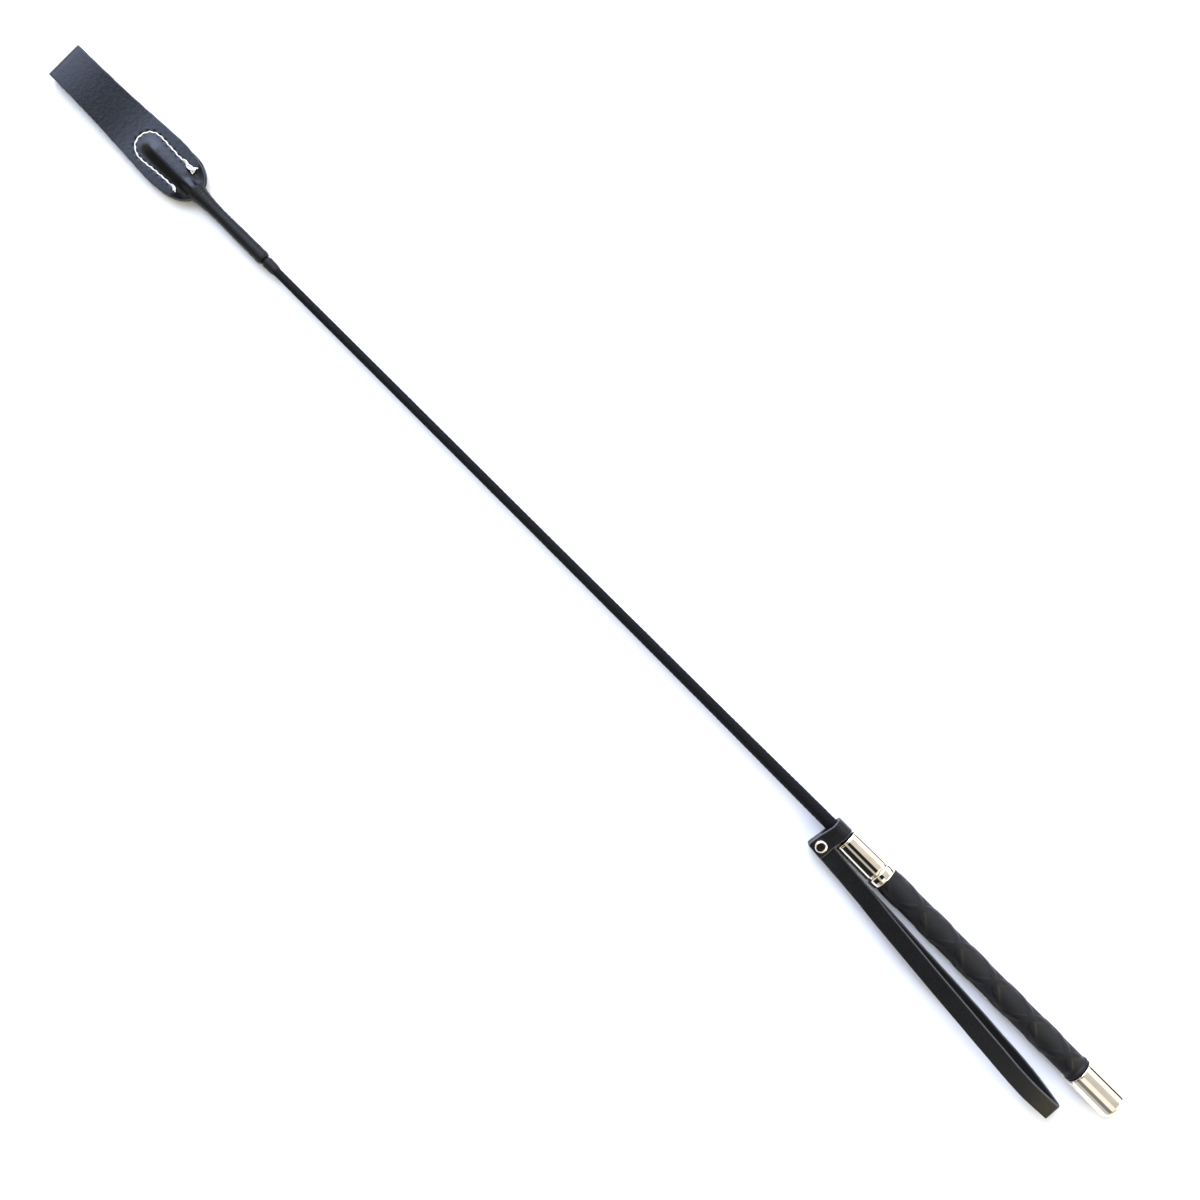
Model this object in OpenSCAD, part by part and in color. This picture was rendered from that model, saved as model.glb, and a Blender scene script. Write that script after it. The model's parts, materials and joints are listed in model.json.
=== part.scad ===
// Riding crop: a tapered, braid-covered shaft with a capped handle, a riveted wrist
// strap on a turning collar, and a folded leather keeper sewn and whipped to the tip.
// The shaft lies along +X, from the butt face at the origin to the keeper's fold.

/* [Overall] */
// Length from the butt face to the fold of the keeper
total_length = 660; // [620:5:760]

/* [Handle] */
// Length of the butt cap
cap_length = 22.8; // [18:0.2:28]
// Diameter of the butt cap at its mouth
cap_mouth_d = 14.2; // [13.8:0.1:14.6]
// Diameter of the butt cap at its closed end
cap_end_d = 14.5; // [14:0.1:16]
// Radius of the rounded edge at the closed end
cap_round = 2.5; // [1:0.1:3.5]
// Length of the grip sleeve
grip_length = 120.9; // [100:0.1:140]
// Diameter of the grip sleeve
grip_d = 12.2; // [11.6:0.1:12.6]
// Diameter of the rolled lip at the sleeve's butt end
grip_lip_d = 13; // [12.8:0.1:13.4]
// Width of the trim ring between the grip and the ferrule
ring_width = 4.8; // [2:0.1:6]
// Diameter of the trim ring
ring_d = 14; // [13:0.1:15]
// Length of the front ferrule
ferrule_length = 20.1; // [18:0.1:30]
// Diameter of the ferrule behind its mouth
ferrule_back_d = 13; // [12.4:0.1:13.6]
// Diameter of the ferrule at its mouth
ferrule_mouth_d = 12.2; // [11.8:0.1:12.4]
// Diameter of the dowel inside the handle
dowel_d = 10; // [9.4:0.1:10.2]

/* [Shaft] */
// Diameter of the braid where it leaves the ferrule
braid_handle_d = 6.2; // [5.8:0.1:6.4]
// Diameter of the braid where the whipping begins
braid_tip_d = 4; // [3.6:0.1:4.4]
// Thickness of the braided cover
braid_wall = 0.45; // [0.3:0.05:0.6]
// Largest bend of the shaft to either side, in degrees
flex_angle = 20; // [10:1:30]

/* [Whipping] */
// Length of the long winding over the keeper's tails
neck_winding = 44; // [36:1:60]
// Length of the short winding behind it
tail_winding = 6.6; // [4:0.2:10]
// Thickness of the whipping thread
thread_d = 0.45; // [0.3:0.05:0.5]

/* [Keeper] */
// Length of the keeper that shows beyond the whipping
keeper_length = 82; // [76:1:96]
// Width of the keeper at its fold
keeper_fold_w = 18.4; // [16:0.2:20]
// Largest width of the keeper
keeper_wide_w = 23.1; // [21:0.1:26]
// Thickness of the keeper's leather
keeper_leather = 1.4; // [1.2:0.1:1.5]
// Height of the fold over both layers
fold_height = 6.2; // [5:0.1:7]
// Distance between the two legs of the stitching
stitch_gauge = 12.4; // [11.6:0.2:14]
// Length of one stitch
stitch_pitch = 3; // [2.5:0.1:4]

/* [Wrist strap] */
// Width of the collar along the shaft
collar_width = 8.4; // [8:0.1:10]
// Distance from the shaft's axis to the rivet
rivet_offset = 10.2; // [10:0.1:12]
// Lean of the collar's flap towards the tip, in degrees
flap_lean = 8; // [0:1:8]
// Diameter of the rivet's two caps
rivet_cap_d = 6; // [5:0.1:7]
// Diameter of the rivet's post
rivet_post_d = 3; // [2.4:0.1:3.2]
// Width of the strap
strap_width = 8; // [7:0.1:8.4]
// Length of the loop from the rivet to its end
strap_length = 157; // [130:1:170]
// Height of the open loop between the middles of its two legs
loop_height = 10; // [8:0.1:10.4]
// Angle between the resting strap and the handle, in degrees
strap_angle = 4; // [4:0.1:12]
// Sideways shift of the loop's upper leg over its lower one
leg_shift = 3.9; // [0:0.1:3.9]

/* [Hidden] */
$fn = 64;

leather_black = "#1b1c20";
nickel = "#d8d2c6";
joint_gap = 0.1;
running_gap = 0.05;

// Handle, from the butt face forwards
cap_wall = 1.2;
insert_r = 5.9;
dowel_r = dowel_d / 2;
dowel_start = 6;
rod_start = 10;
grip_start = cap_length + joint_gap;
ring_start = grip_start + grip_length + joint_gap;
ferrule_start = ring_start + ring_width + joint_gap;
ferrule_end = ferrule_start + ferrule_length;
dowel_end = ferrule_start + 3.7;
bush_start = dowel_end + 0.3;
ferrule_lip = 0.8;
groove_width = 0.9;
groove_depth = 0.5;
rim_round = 0.5;
lip_round = 1.3;
edge_chamfer = 0.3;

// Shaft: the share of its free length, and the share of its taper that is left there
TAPER = [[0.05, 1], [0.22, 0.6], [0.55, 0.23], [1, 0]];
keeper_start = total_length - keeper_length;
neck_start = keeper_start - neck_winding;
winding_gap = 1;
tail_start = neck_start - winding_gap - tail_winding;
free_length = tail_start - ferrule_end;
TAPER_X = [for (p = TAPER) ferrule_end + p[0] * free_length];
flex_x = ferrule_end + 0.5 * free_length;
flex_r = braid_r(flex_x);
flex_cut = 1.1 * flex_r * tan(flex_angle);

// Keeper
wide_x = total_length - 62;
shoulder_length = 22.9;
shoulder_shown = min(wide_x - keeper_start - joint_gap, 0.98 * shoulder_length);
shoulder_power = 2.5;
keeper_neck_r = 4.05;
ridge_r = 3.4;
ridge_end = wide_x + 11;
tip_cap_r = 2.3;
tip_cap_length = 5.5;
tip_cap_wall = 2;
rod_end = ridge_end - 5.5;
layer_gap = 0.1;
half_stack = keeper_leather + layer_gap / 2;
tails_start = neck_start + 3;
hinge_x = wide_x + 21;
fold_r = fold_height / 2;
outline_steps = 12;

// Stitching: two legs joined by a half round ahead of the rod's end
stitch_r = 0.4;
hole_r = 0.36;
knot_r = 0.46;
run_inset = 0.15;
stitch_a = stitch_gauge / 2;
stitch_apex = ridge_end + 3;
leg_start = wide_x - 14;
leg_length = stitch_apex - stitch_a - leg_start;
arc_length = PI * stitch_a;
stitch_count = round((2 * leg_length + arc_length) / stitch_pitch);
stitch_step = (2 * leg_length + arc_length) / stitch_count;
stitch_z = half_stack + stitch_r + 0.02;

// Collar and rivet
collar_start = ferrule_end + joint_gap;
collar_x = collar_start + collar_width / 2;
collar_leather = 1.6;
collar_bore_r = braid_handle_d / 2 + running_gap;
collar_r = collar_bore_r + collar_leather + 0.1;
strap_leather = 1.25;
strap_stack = strap_leather + layer_gap / 2;
slot_half = strap_stack + running_gap;
flap_half = slot_half + collar_leather;
flap_y = rivet_offset + 3.9;
flap_bend_y = rivet_offset - rivet_cap_d / 2 - joint_gap;
rivet_x = collar_x + rivet_offset * sin(flap_lean);
rivet_y = rivet_offset * cos(flap_lean);
rivet_dome = 1.4;
rivet_socket = 0.6;

// Strap: distances along it are counted from the rivet
strap_tail = 4;
strap_hinge = 9.6;
strap_spread = 14;
strap_widest = 126;
strap_sheared = 44;
loop_r = loop_height / 2;
loop_end_r = 1.1;
loop_end_slope = 17;
loop_end_taper = 31;
loop_end_s = strap_length - loop_end_r * (1 - sin(loop_end_slope));
loop_end_half = loop_end_r * cos(loop_end_slope);
leg_steps = 28;
fold_steps = 10;

function clamp01(t) = min(max(t, 0), 1);
function smooth(t) = let (c = clamp01(t)) c * c * (3 - 2 * c);
function reversed(list) = [for (i = [len(list) - 1:-1:0]) list[i]];

// Radius of the braid at a place along the shaft
function braid_r(x) = lookup(x, [
    for (i = [0:len(TAPER) - 1])
        [TAPER_X[i], (braid_tip_d + TAPER[i][1] * (braid_handle_d - braid_tip_d)) / 2]]);
function stations(x0, x1) =
    concat([x0], [for (x = TAPER_X) if (x > x0 && x < x1) x], [x1]);
function shaft_line(x0, x1, grow) = [for (x = stations(x0, x1)) [braid_r(x) + grow, x]];

// Half width of the keeper's outline
function keeper_side(x) =
    let (t = (total_length - x) / (total_length - wide_x))
    (keeper_fold_w + (keeper_wide_w - keeper_fold_w) * t * t * (3 - t) / 2) / 2;
function shoulder_side(share) =
    keeper_wide_w / 2 * pow(1 - pow(share, shoulder_power), 1 / shoulder_power);

// A point of the stitching at a distance from its first hole
function stitch_point(s) =
    s < leg_length ? [leg_start + s, -stitch_a]
    : s > leg_length + arc_length
        ? [leg_start + 2 * leg_length + arc_length - s, stitch_a]
    : let (a = (s - leg_length) / stitch_a * 180 / PI)
        [leg_start + leg_length + stitch_a * sin(a), -stitch_a * cos(a)];

// Half of the loop's opening at a distance from the rivet: it spreads slowly, then closes to the fold
function loop_half(s) =
    let (closed = strap_stack - strap_leather / 2)
    let (t = clamp01((loop_end_s - s) / loop_end_taper))
    min(
        closed + (loop_r - closed) * smooth((s - strap_spread) / (strap_widest - strap_spread)),
        loop_end_half + (loop_r - loop_end_half) * (1 - pow(1 - t, 2.4)));

// Sideways shift for each millimetre of height
function loop_shear(s) =
    leg_shift / loop_height * smooth((s - strap_spread) / (strap_sheared - strap_spread));

// Middle line of the loop, out along the upper leg and back along the lower one
UPPER_LEG = concat([[strap_hinge, loop_half(strap_hinge)]], [
    for (i = [0:leg_steps])
        let (s = loop_end_s - (loop_end_s - strap_spread) * pow(1 - i / leg_steps, 1.5))
        [s, loop_half(s)]]);
LOOP_END = [
    for (i = [1:fold_steps - 1])
        let (a = (90 - loop_end_slope) * (1 - 2 * i / fold_steps))
        [strap_length - loop_end_r * (1 - cos(a)), loop_end_r * sin(a)]];
LOOP_LINE = concat(UPPER_LEG, LOOP_END, [for (p = reversed(UPPER_LEG)) [p[0], -p[1]]]);
function loop_normal(i) =
    let (a = LOOP_LINE[max(i - 1, 0)])
    let (b = LOOP_LINE[min(i + 1, len(LOOP_LINE) - 1)])
    let (d = (b - a) / norm(b - a)) [-d[1], d[0]];
function loop_corner(i, side, face) =
    let (p = LOOP_LINE[i] + loop_normal(i) * face * strap_leather / 2)
    [p[0], side * strap_width / 2 - p[1] * loop_shear(LOOP_LINE[i][0]), p[1]];

// Turns a profile of [radius, distance along the shaft] about the shaft's axis
module turned() {
    rotate([0, 90, 0]) rotate_extrude() children();
}

module ring_profile(r0, r1, x0, x1) {
    translate([r0, x0]) square([r1 - r0, x1 - x0]);
}

// Profile between two lines along the shaft
module wall_profile(inner, outer) {
    polygon(concat(outer, reversed(inner)));
}

// A cylinder about the flex joint's axis, which lies across the shaft
module flex_round(r) {
    translate([flex_x, 0, 0]) rotate([90, 0, 0]) cylinder(6 * flex_r, r, r, center = true);
}

// The butt half of a shaft piece ends rounded about the flex joint's axis
module round_end() {
    difference() {
        children();
        difference() {
            translate([flex_x, -2 * flex_r, -2 * flex_r]) cube(4 * flex_r);
            flex_round(flex_r);
        }
    }
}

// The tip half starts in a shallow seat that clears the rounded end
module round_seat() {
    difference() {
        children();
        flex_round(flex_r + running_gap);
    }
}

module strap_place() {
    translate([rivet_x, rivet_y, 0]) rotate([0, 0, 180 - strap_angle]) children();
}

// Tapered fibreglass rod, from inside the butt to the flex joint
module core_rod_butt() {
    color("#d9cfa8") round_end() turned()
        wall_profile(
            [[0, rod_start], [0, flex_x + flex_r]],
            shaft_line(rod_start, flex_x + flex_r, -braid_wall));
}

// The same rod from the flex joint to its end inside the keeper
module core_rod_tip() {
    color("#d9cfa8") round_seat() turned()
        wall_profile(
            [[0, flex_x + flex_cut], [0, rod_end]],
            shaft_line(flex_x + flex_cut, rod_end, -braid_wall));
}

// Braided nylon cover, from inside the ferrule to the flex joint
module braid_butt() {
    color("#222327") round_end() turned()
        wall_profile(
            shaft_line(bush_start, flex_x + flex_r, -braid_wall),
            shaft_line(bush_start, flex_x + flex_r, 0));
}

// The same cover from the flex joint to the rod's end
module braid_tip() {
    color("#222327") round_seat() turned()
        wall_profile(
            shaft_line(flex_x + flex_cut, rod_end, -braid_wall),
            shaft_line(flex_x + flex_cut, rod_end, 0));
}

// Drilled dowel that carries the grip and holds the rod
module handle_dowel() {
    color("#c19a6b") turned()
        ring_profile(braid_handle_d / 2 - braid_wall, dowel_r, dowel_start, dowel_end);
}

// Bush that centres the braid in the ferrule
module ferrule_bush() {
    color("#2b2b2e") turned()
        ring_profile(braid_handle_d / 2, dowel_r, bush_start, ferrule_end - ferrule_lip);
}

// Tapered metal ferrule with a groove behind and a rolled rim at its mouth
module front_ferrule() {
    back_r = ferrule_back_d / 2;
    mouth_r = ferrule_mouth_d / 2;
    body_start = ferrule_start + groove_width;
    color(nickel) turned() difference() {
        union() {
            ring_profile(0, back_r - groove_depth, ferrule_start, body_start);
            polygon([
                [0, body_start], [back_r, body_start],
                [mouth_r - rim_round / 2, ferrule_end - 2 * rim_round],
                [mouth_r - rim_round / 2, ferrule_end - rim_round],
                [mouth_r - rim_round, ferrule_end], [0, ferrule_end]]);
            translate([mouth_r - rim_round, ferrule_end - rim_round]) circle(rim_round);
        }
        ring_profile(0, dowel_r, ferrule_start - 1, ferrule_end - ferrule_lip);
        ring_profile(0, collar_bore_r + 0.1, ferrule_start, ferrule_end + 1);
    }
}

// Metal trim ring between the grip and the ferrule
module ferrule_ring() {
    ring_r = ring_d / 2;
    ring_end = ring_start + ring_width;
    color(nickel) turned() polygon([
        [dowel_r, ring_start], [ring_r - edge_chamfer, ring_start],
        [ring_r, ring_start + edge_chamfer], [ring_r, ring_end - edge_chamfer],
        [ring_r - edge_chamfer, ring_end], [dowel_r, ring_end]]);
}

// Moulded grip sleeve with a rolled lip at the butt end
module grip_sleeve() {
    color("#202124") turned() difference() {
        union() {
            ring_profile(0, grip_d / 2, grip_start + lip_round, grip_start + grip_length);
            ring_profile(0, grip_lip_d / 2 - lip_round, grip_start, grip_start + lip_round);
            translate([grip_lip_d / 2 - lip_round, grip_start + lip_round]) circle(lip_round);
        }
        ring_profile(0, dowel_r, grip_start - 1, grip_start + grip_length + 1);
    }
}

// Metal cap over the butt, flared towards its rounded end
module butt_cap() {
    end_r = cap_end_d / 2;
    mouth_r = cap_mouth_d / 2;
    color(nickel) turned() difference() {
        polygon([
            [0, 0], [end_r, 0], [end_r, cap_round], [mouth_r, cap_length - edge_chamfer],
            [mouth_r - edge_chamfer, cap_length], [0, cap_length]]);
        difference() {
            translate([end_r - cap_round, -1]) square([cap_round + 1, cap_round + 1]);
            translate([end_r - cap_round, cap_round]) circle(cap_round);
        }
        ring_profile(0, insert_r, cap_wall, cap_length + 1);
    }
}

// Plastic insert that fixes the cap to the dowel
module cap_insert() {
    color("#2b2b2e") turned() difference() {
        ring_profile(0, insert_r, cap_wall, cap_length);
        ring_profile(0, dowel_r, dowel_start, cap_length + 1);
    }
}

// Plastic cap over the end of the rod and braid
module rod_tip_cap() {
    cap_start = rod_end - tip_cap_length + tip_cap_wall;
    color("#2b2b2e") turned() difference() {
        union() {
            ring_profile(0, tip_cap_r, cap_start, rod_end + tip_cap_wall - edge_chamfer);
            ring_profile(
                0, tip_cap_r - edge_chamfer, cap_start, rod_end + tip_cap_wall);
        }
        wall_profile([[0, cap_start], [0, rod_end]], shaft_line(cap_start, rod_end, 0));
    }
}

// Space that the rod, braid and tip cap take inside the leather
module rod_space() {
    turned() union() {
        wall_profile(
            [[0, tails_start], [0, rod_end]], shaft_line(tails_start, rod_end, 0));
        ring_profile(
            0, tip_cap_r, rod_end - tip_cap_length + tip_cap_wall, rod_end + tip_cap_wall);
    }
}

// Plan outline of the keeper between two places along the shaft
module keeper_outline(x0, x1) {
    half = [for (i = [0:outline_steps])
        let (x = x1 + (x0 - x1) * i / outline_steps) [x, keeper_side(x)]];
    polygon(concat(half, [for (p = reversed(half)) [p[0], -p[1]]]));
}

module shoulder_outline() {
    half = [for (i = [0:outline_steps])
        let (reach = shoulder_shown * i / outline_steps)
        [wide_x - reach, shoulder_side(reach / shoulder_length)]];
    polygon(concat(half, [for (p = reversed(half)) [p[0], -p[1]]]));
}

// Outer line of the leather tails under the whipping
TAILS_LINE = [
    [2.75, tails_start], [2.5, keeper_start - 23], [2.5, keeper_start - 16],
    [2.65, keeper_start - 11.5], [3, keeper_start - 7], [3.3, keeper_start - 4.8],
    [3.75, keeper_start - 2.6], [keeper_neck_r, keeper_start]];

// Sewn part of the keeper: two layers over the rod, drawn in to the whipped neck
module keeper_base() {
    sewn_end = hinge_x - half_stack - 0.15;
    color(leather_black) difference() {
        union() {
            linear_extrude(2 * half_stack, center = true) {
                keeper_outline(wide_x, sewn_end);
                shoulder_outline();
            }
            turned() {
                wall_profile(
                    [[0, tails_start], [0, keeper_start + 3]],
                    concat(TAILS_LINE, [[ridge_r, keeper_start + 3]]));
                ring_profile(0, ridge_r, keeper_start, ridge_end - ridge_r);
                intersection() {
                    translate([0, ridge_end - ridge_r]) circle(ridge_r);
                    ring_profile(0, ridge_r, ridge_end - ridge_r, ridge_end);
                }
            }
        }
        rod_space();
        for (i = [0:stitch_count])
            translate(concat(stitch_point(i * stitch_step), -5)) cylinder(10, hole_r, hole_r);
    }
}

// A bar across the keeper, drawn by its section of [distance along the shaft, height]
module cross_bar() {
    translate([0, keeper_wide_w, 0]) rotate([90, 0, 0])
        linear_extrude(2 * keeper_wide_w) children();
}

// Free part of the keeper: a loop folded over at the tip
module keeper_tongue() {
    fold_x = total_length - fold_r;
    gap_start = hinge_x + 8;
    gap_r = fold_r - keeper_leather;
    inset = 0.02;
    color(leather_black) difference() {
        intersection() {
            union() {
                cross_bar() translate([hinge_x, 0]) circle(half_stack);
                cross_bar() polygon([
                    [hinge_x, half_stack - inset], [fold_x, fold_r - inset],
                    [fold_x, inset - fold_r], [hinge_x, inset - half_stack]]);
                cross_bar() translate([fold_x, 0]) circle(fold_r);
            }
            translate([0, 0, -fold_height])
                linear_extrude(2 * fold_height)
                    keeper_outline(hinge_x - half_stack - 1, total_length + 1);
        }
        cross_bar()
            polygon([[gap_start, 0], [fold_x, gap_r - inset], [fold_x, inset - gap_r]]);
        cross_bar() translate([fold_x, 0]) circle(gap_r);
    }
}

// A straight length of round thread in one level, ending inside the knots at two holes
module thread_run(p, q, z) {
    d = q - p;
    translate([p[0], p[1], z]) rotate([0, 0, atan2(d[1], d[0])])
        translate([run_inset, 0, 0]) rotate([0, 90, 0])
            cylinder(norm(d) - 2 * run_inset, stitch_r, stitch_r);
}

// White thread through both layers, with a stitch on each face between two holes
module keeper_stitching() {
    color("white") {
        for (i = [0:stitch_count]) {
            p = stitch_point(i * stitch_step);
            translate([p[0], p[1], -stitch_z]) cylinder(2 * stitch_z, hole_r, hole_r);
            for (z = [-stitch_z, stitch_z])
                translate([p[0], p[1], z]) sphere(knot_r);
        }
        for (i = [0:stitch_count - 1])
            for (z = [-stitch_z, stitch_z])
                thread_run(
                    stitch_point(i * stitch_step), stitch_point((i + 1) * stitch_step), z);
    }
}

// Tie-off knots at the two ends of the stitching, one with its thread ends left long
module stitch_knots() {
    knot_x = leg_start - 1.7;
    knot_z = half_stack + 0.8;
    color("white") {
        for (side = [-1, 1])
            translate([knot_x, side * stitch_a, knot_z]) sphere(0.8);
        for (turn = [-35, 25])
            translate([knot_x, -stitch_a, knot_z]) rotate([0, 0, 180 + turn])
                rotate([0, 90, 0]) cylinder(3.4, 0.35, 0.35);
    }
}

// Long winding of black thread over the keeper's tails
module neck_whipping() {
    bare_r = braid_tip_d / 2;
    color("#141518") turned() wall_profile(
        concat(
            [[bare_r, neck_start], [bare_r, tails_start]], TAILS_LINE),
        concat(
            [[TAILS_LINE[0][0] + 0.1, neck_start], [TAILS_LINE[0][0] + thread_d, neck_start + 1.5]],
            [for (p = TAILS_LINE) [p[0] + thread_d, p[1]]]));
}

// Short second winding straight on the braid
module tail_whipping() {
    bare_r = braid_tip_d / 2;
    color("#141518") turned() wall_profile(
        [[bare_r, tail_start], [bare_r, tail_start + tail_winding]],
        [[bare_r + 0.35, tail_start], [bare_r + 0.65, tail_start + tail_winding - 1],
            [bare_r + 0.35, tail_start + tail_winding]]);
}

// Draws a section of [across, height] over the collar's width
module collar_bar() {
    rotate([90, 0, 90]) linear_extrude(collar_width, center = true) children();
}

// Places a piece drawn about the collar's middle, leaning as the flap does
module flap_place() {
    translate([collar_x, 0, 0]) rotate([0, 0, -flap_lean]) children();
}

// Leather collar wrapped round the shaft, with its two ends riveted into a flap
module loop_collar() {
    reach = norm([flap_bend_y, flap_half]);
    a = atan2(flap_half, flap_bend_y) + acos(collar_r / reach);
    touch = 0.97 * collar_r * [cos(a), sin(a)];
    color(leather_black) difference() {
        union() {
            translate([collar_x, 0, 0]) collar_bar() circle(collar_r);
            flap_place() collar_bar() polygon([
                touch, [flap_bend_y, flap_half], [flap_y, flap_half],
                [flap_y, -flap_half], [flap_bend_y, -flap_half], [touch[0], -touch[1]]]);
        }
        translate([collar_x, 0, 0]) rotate([0, 90, 0])
            cylinder(2 * collar_width, collar_bore_r, collar_bore_r, center = true);
        flap_place() translate([-collar_width, 0, -slot_half])
            cube([2 * collar_width, flap_y + 1, 2 * slot_half]);
        translate([rivet_x, rivet_y, -5]) cylinder(10, rivet_post_d / 2, rivet_post_d / 2);
    }
}

// Domed cap with a flat base at height zero
module rivet_dome() {
    dome_r = (pow(rivet_cap_d / 2, 2) + pow(rivet_dome, 2)) / (2 * rivet_dome);
    rotate_extrude() intersection() {
        translate([0, rivet_dome - dome_r]) circle(dome_r);
        square([rivet_cap_d, rivet_dome]);
    }
}

// Upper cap of the rivet, pressed on to the post
module rivet_cap() {
    color(nickel) translate([rivet_x, rivet_y, flap_half]) difference() {
        rivet_dome();
        translate([0, 0, -1])
            cylinder(1 + rivet_socket, rivet_post_d / 2, rivet_post_d / 2);
    }
}

// Post of the rivet with its lower cap
module rivet_post() {
    color(nickel) translate([rivet_x, rivet_y, 0]) {
        translate([0, 0, -flap_half]) mirror([0, 0, 1]) rivet_dome();
        translate([0, 0, -flap_half])
            cylinder(2 * flap_half + rivet_socket, rivet_post_d / 2, rivet_post_d / 2);
    }
}

// The two riveted ends of the wrist strap, one on the other
module strap_ends() {
    ends_length = strap_tail + strap_hinge - strap_stack - 0.15;
    color(leather_black) strap_place() difference() {
        for (z = [layer_gap / 2, -strap_stack])
            translate([-strap_tail, -strap_width / 2, z])
                cube([ends_length, strap_width, strap_leather]);
        translate([0, 0, -5])
            cylinder(10, rivet_post_d / 2 + running_gap, rivet_post_d / 2 + running_gap);
    }
}

// The free loop of the wrist strap: a flat band swept along the loop's middle line
module strap_loop() {
    count = len(LOOP_LINE);
    points = [for (i = [0:count - 1]) each [
        loop_corner(i, 1, -1), loop_corner(i, -1, -1),
        loop_corner(i, -1, 1), loop_corner(i, 1, 1)]];
    walls = [for (i = [0:count - 2]) for (k = [0:3])
        [4 * i + k, 4 * i + (k + 1) % 4, 4 * i + 4 + (k + 1) % 4, 4 * i + 4 + k]];
    last = 4 * (count - 1);
    color(leather_black) strap_place() union() {
        polyhedron(points, concat([[3, 2, 1, 0]], walls, [[last, last + 1, last + 2, last + 3]]));
        translate([strap_hinge, 0, 0]) {
            translate([0, -strap_width / 2, -strap_stack])
                cube([1, strap_width, 2 * strap_stack]);
            rotate([90, 0, 0])
                cylinder(strap_width, strap_stack, strap_stack, center = true);
        }
    }
}

core_rod_butt();
core_rod_tip();
braid_butt();
braid_tip();
handle_dowel();
ferrule_bush();
front_ferrule();
ferrule_ring();
grip_sleeve();
butt_cap();
cap_insert();
rod_tip_cap();
keeper_base();
keeper_tongue();
keeper_stitching();
stitch_knots();
neck_whipping();
tail_whipping();
loop_collar();
rivet_cap();
rivet_post();
strap_ends();
strap_loop();
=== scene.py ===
import json
import math

import bmesh
import bpy
import numpy as np
from mathutils import Matrix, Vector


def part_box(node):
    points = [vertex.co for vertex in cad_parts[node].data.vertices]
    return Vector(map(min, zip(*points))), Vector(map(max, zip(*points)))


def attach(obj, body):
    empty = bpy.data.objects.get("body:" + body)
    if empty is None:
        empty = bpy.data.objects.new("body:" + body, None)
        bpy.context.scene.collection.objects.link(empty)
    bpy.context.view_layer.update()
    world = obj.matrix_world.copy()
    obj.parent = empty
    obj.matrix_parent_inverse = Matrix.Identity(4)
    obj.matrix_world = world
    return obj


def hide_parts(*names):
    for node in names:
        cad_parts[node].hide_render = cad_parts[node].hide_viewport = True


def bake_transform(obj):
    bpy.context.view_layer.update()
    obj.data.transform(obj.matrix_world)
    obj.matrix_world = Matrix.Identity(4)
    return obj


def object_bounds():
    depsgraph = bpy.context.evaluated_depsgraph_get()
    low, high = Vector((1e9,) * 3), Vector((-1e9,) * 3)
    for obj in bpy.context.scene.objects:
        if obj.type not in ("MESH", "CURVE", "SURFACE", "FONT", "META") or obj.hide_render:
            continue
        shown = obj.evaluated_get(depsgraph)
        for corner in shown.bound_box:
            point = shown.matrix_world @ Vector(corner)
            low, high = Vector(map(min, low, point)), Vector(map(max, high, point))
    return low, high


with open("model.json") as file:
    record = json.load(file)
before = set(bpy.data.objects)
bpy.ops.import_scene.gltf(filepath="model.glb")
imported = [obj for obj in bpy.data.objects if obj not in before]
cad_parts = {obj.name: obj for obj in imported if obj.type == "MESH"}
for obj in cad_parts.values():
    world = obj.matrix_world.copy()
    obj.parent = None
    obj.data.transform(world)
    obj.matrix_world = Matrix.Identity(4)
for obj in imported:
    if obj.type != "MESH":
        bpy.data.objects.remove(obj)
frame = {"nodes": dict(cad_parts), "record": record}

CAD_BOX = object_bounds()
MM = 0.001
TURN = 2 * math.pi


# -------------------------------- places, in millimetres

def span(node, axis=0):
    """Lowest and highest place of a CAD node along one axis."""
    low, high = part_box(node)
    return low[axis] / MM, high[axis] / MM


def joint(name):
    """Where a joint is."""
    joints = frame["record"]["behaviour"]["joints"]
    return [value / MM for value in next(j["pos_m"] for j in joints if j["name"] == name)]


def smooth(t):
    """Rises from 0 to 1 with a level start and end."""
    t = np.clip(t, 0, 1)
    return t * t * (3 - 2 * t)


TIP = CAD_BOX[1][0] / MM
WIDE = TIP - 62
KEEPER_START = TIP - 82
KEEPER_HINGE = joint("keeper_flex")[0]
FLEX = joint("shaft_flex")[0]
COLLAR_X = joint("collar_swivel")[0]
RIVET_X, RIVET_Y = joint("strap_pivot")[:2]
FERRULE_END = span("front_ferrule")[1]
TAIL_START = span("tail_whipping")[0]
NECK_START = span("neck_whipping")[0]

# The braid's radius at the handle and at the whipping, and its taper between them, as the share
# of the free length and the share of the taper that is left there
BRAID_BUTT_R, BRAID_TIP_R = 3.1, 2.0
TAPER = np.array([[0.05, 1], [0.22, 0.6], [0.55, 0.23], [1, 0]])


def braid_r(x):
    """Outer radius of the braided cover."""
    places = FERRULE_END + TAPER[:, 0] * (TAIL_START - FERRULE_END)
    return np.interp(x, places, BRAID_TIP_R + TAPER[:, 1] * (BRAID_BUTT_R - BRAID_TIP_R))


# -------------------------------- mesh tools

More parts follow.
